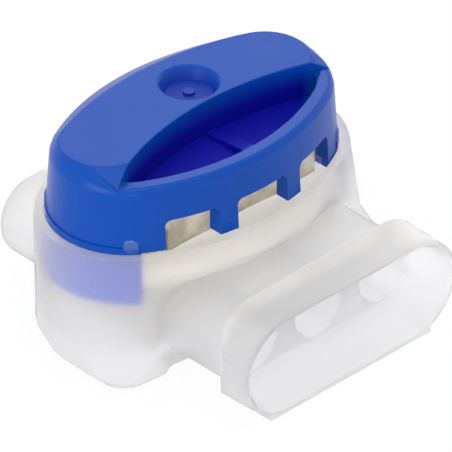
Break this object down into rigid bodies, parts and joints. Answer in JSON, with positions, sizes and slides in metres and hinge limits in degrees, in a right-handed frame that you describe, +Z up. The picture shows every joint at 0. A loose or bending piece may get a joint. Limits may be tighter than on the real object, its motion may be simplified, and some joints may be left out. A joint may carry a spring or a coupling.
{
  "type": "insulation displacement connector",
  "caption": "Gel-filled insulation displacement connector: a press cap drives a slotted contact down onto wires pushed in at a wide mouth.",
  "frame": {"origin": "on the floor, at the middle of the part's footprint", "axes": "+X across the row of wires, -Y out of the mouth, +Z up against the cap's travel"},
  "size_m": [0.0248, 0.0246, 0.0141],
  "materials": {
    "housing": "milky translucent polypropylene, satin",
    "cap": "blue translucent polypropylene, satin",
    "contact": "tin plated, dull",
    "gel": "soft clear gel, cream, wet"
  },
  "bodies": {
    "base": {"housing": "housing", "sealant_gel": "gel"},
    "press": {"press_cap": "cap", "contact": "contact"}
  },
  "joints": [
    {"name": "cap_press", "type": "slide", "parent": "base", "child": "press", "axis": [0, 0, -1], "range_m": [0, 0.0036], "deforming": ["sealant_gel"]}
  ]
}
